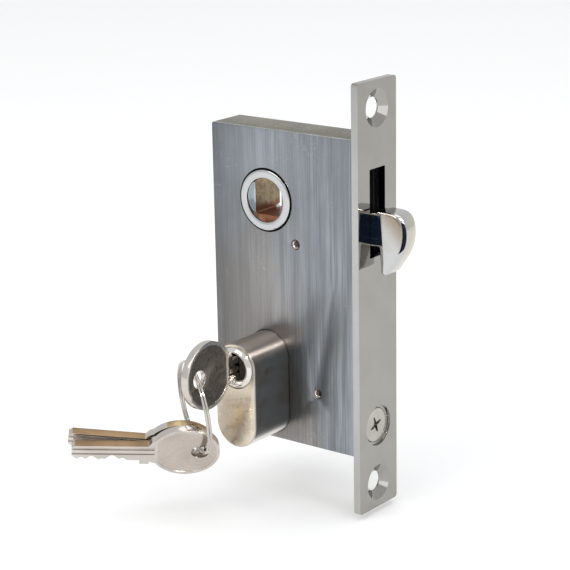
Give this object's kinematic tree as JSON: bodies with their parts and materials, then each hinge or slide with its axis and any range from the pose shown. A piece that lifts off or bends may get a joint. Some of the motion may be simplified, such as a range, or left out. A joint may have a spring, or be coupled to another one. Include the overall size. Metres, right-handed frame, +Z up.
{
  "type": "mortise lock",
  "caption": "Mortise hook lock: flat case, narrow faceplate with a swinging hook bolt, square-socket follower, oval key cylinder, and keys on a split ring.",
  "frame": {"origin": "centre of the faceplate's back face, on the case's mid-plane", "axes": "+X out of the faceplate's front, +Z up along the faceplate, broad case faces to -Y and +Y, keyed side -Y"},
  "size_m": [0.0992, 0.0955, 0.1492],
  "materials": {
    "faceplate_chrome": "polished",
    "case_steel": "brushed",
    "polished_chrome": "polished",
    "hook_steel": "polished head, dark shank",
    "guide_black": "matte",
    "cylinder_nickel": "satin nickel",
    "key_nickel": "nickel plated",
    "brass": "plain",
    "spring_steel": "spring steel",
    "zinc_steel": "zinc plated"
  },
  "bodies": {
    "lock_case": {"faceplate": "faceplate_chrome", "case_tray": "case_steel", "case_cover": "case_steel", "case_pin_upper": "zinc_steel", "case_pin_lower": "zinc_steel", "hook_pivot_pin": "zinc_steel", "hook_guide": "guide_black", "slide_spring": "spring_steel", "cylinder_body": "cylinder_nickel", "plug_far": "cylinder_nickel", "plug_clip_near": "spring_steel", "plug_clip_far": "spring_steel", "cylinder_screw": "cylinder_nickel", "driver_pin_1": "zinc_steel", "pin_spring_1": "spring_steel", "chamber_plug_1": "brass", "driver_pin_2": "zinc_steel", "pin_spring_2": "spring_steel", "chamber_plug_2": "brass", "driver_pin_3": "zinc_steel", "pin_spring_3": "spring_steel", "chamber_plug_3": "brass", "driver_pin_4": "zinc_steel", "pin_spring_4": "spring_steel", "chamber_plug_4": "brass", "driver_pin_5": "zinc_steel", "pin_spring_5": "spring_steel", "chamber_plug_5": "brass"},
    "hook": {"hook_bolt": "hook_steel"},
    "slide": {"drive_slide": "zinc_steel"},
    "follower": {"follower_hub": "polished_chrome", "follower_ring_near": "polished_chrome", "follower_ring_far": "polished_chrome"},
    "keyed_plug": {"plug_near": "cylinder_nickel", "key_main": "key_nickel", "cam": "zinc_steel", "clutch": "brass", "key_pin_1": "brass", "key_pin_2": "brass", "key_pin_3": "brass", "key_pin_4": "brass", "key_pin_5": "brass"},
    "ring": {"key_ring": "key_nickel"},
    "spare_a": {"spare_key_1": "key_nickel"},
    "spare_b": {"spare_key_2": "key_nickel"}
  },
  "joints": [
    {"name": "hook_swing", "type": "hinge", "parent": "lock_case", "child": "hook", "pos_m": [-0.012, 0, 0.012], "axis": [0, -1, 0], "range_deg": [0, 60]},
    {"name": "slide_travel", "type": "slide", "parent": "lock_case", "child": "slide", "axis": [0, 0, -1], "range_m": [0, 0.009]},
    {"name": "follower_turn", "type": "hinge", "parent": "lock_case", "child": "follower", "pos_m": [-0.0388, 0, 0.0303], "axis": [0, 1, 0], "range_deg": [0, 44.8]},
    {"name": "key_turn", "type": "hinge", "parent": "lock_case", "child": "keyed_plug", "pos_m": [-0.0388, 0, -0.0249], "axis": [0, 1, 0], "range_deg": [0, 44.8]},
    {"name": "ring_swing", "type": "hinge", "parent": "keyed_plug", "child": "ring", "pos_m": [-0.0388, -0.0458, -0.0245], "axis": [1, 0, 0], "range_deg": [-6, 6]},
    {"name": "spare_a_swing", "type": "hinge", "parent": "ring", "child": "spare_a", "pos_m": [-0.04584, -0.03734, -0.05291], "axis": [0.5528, -0.6561, -0.5139], "range_deg": [-5, 38]},
    {"name": "spare_b_swing", "type": "hinge", "parent": "ring", "child": "spare_b", "pos_m": [-0.04981, -0.03485, -0.0521], "axis": [0.5528, -0.6561, -0.5139], "range_deg": [-5, 38]}
  ],
  "couplings": [
    {"joint": "slide_travel", "follows": "hook_swing", "m_per_rad": 0.0085943},
    {"joint": "follower_turn", "follows": "hook_swing", "ratio": 0.74666},
    {"joint": "key_turn", "follows": "hook_swing", "ratio": 0.74666}
  ]
}
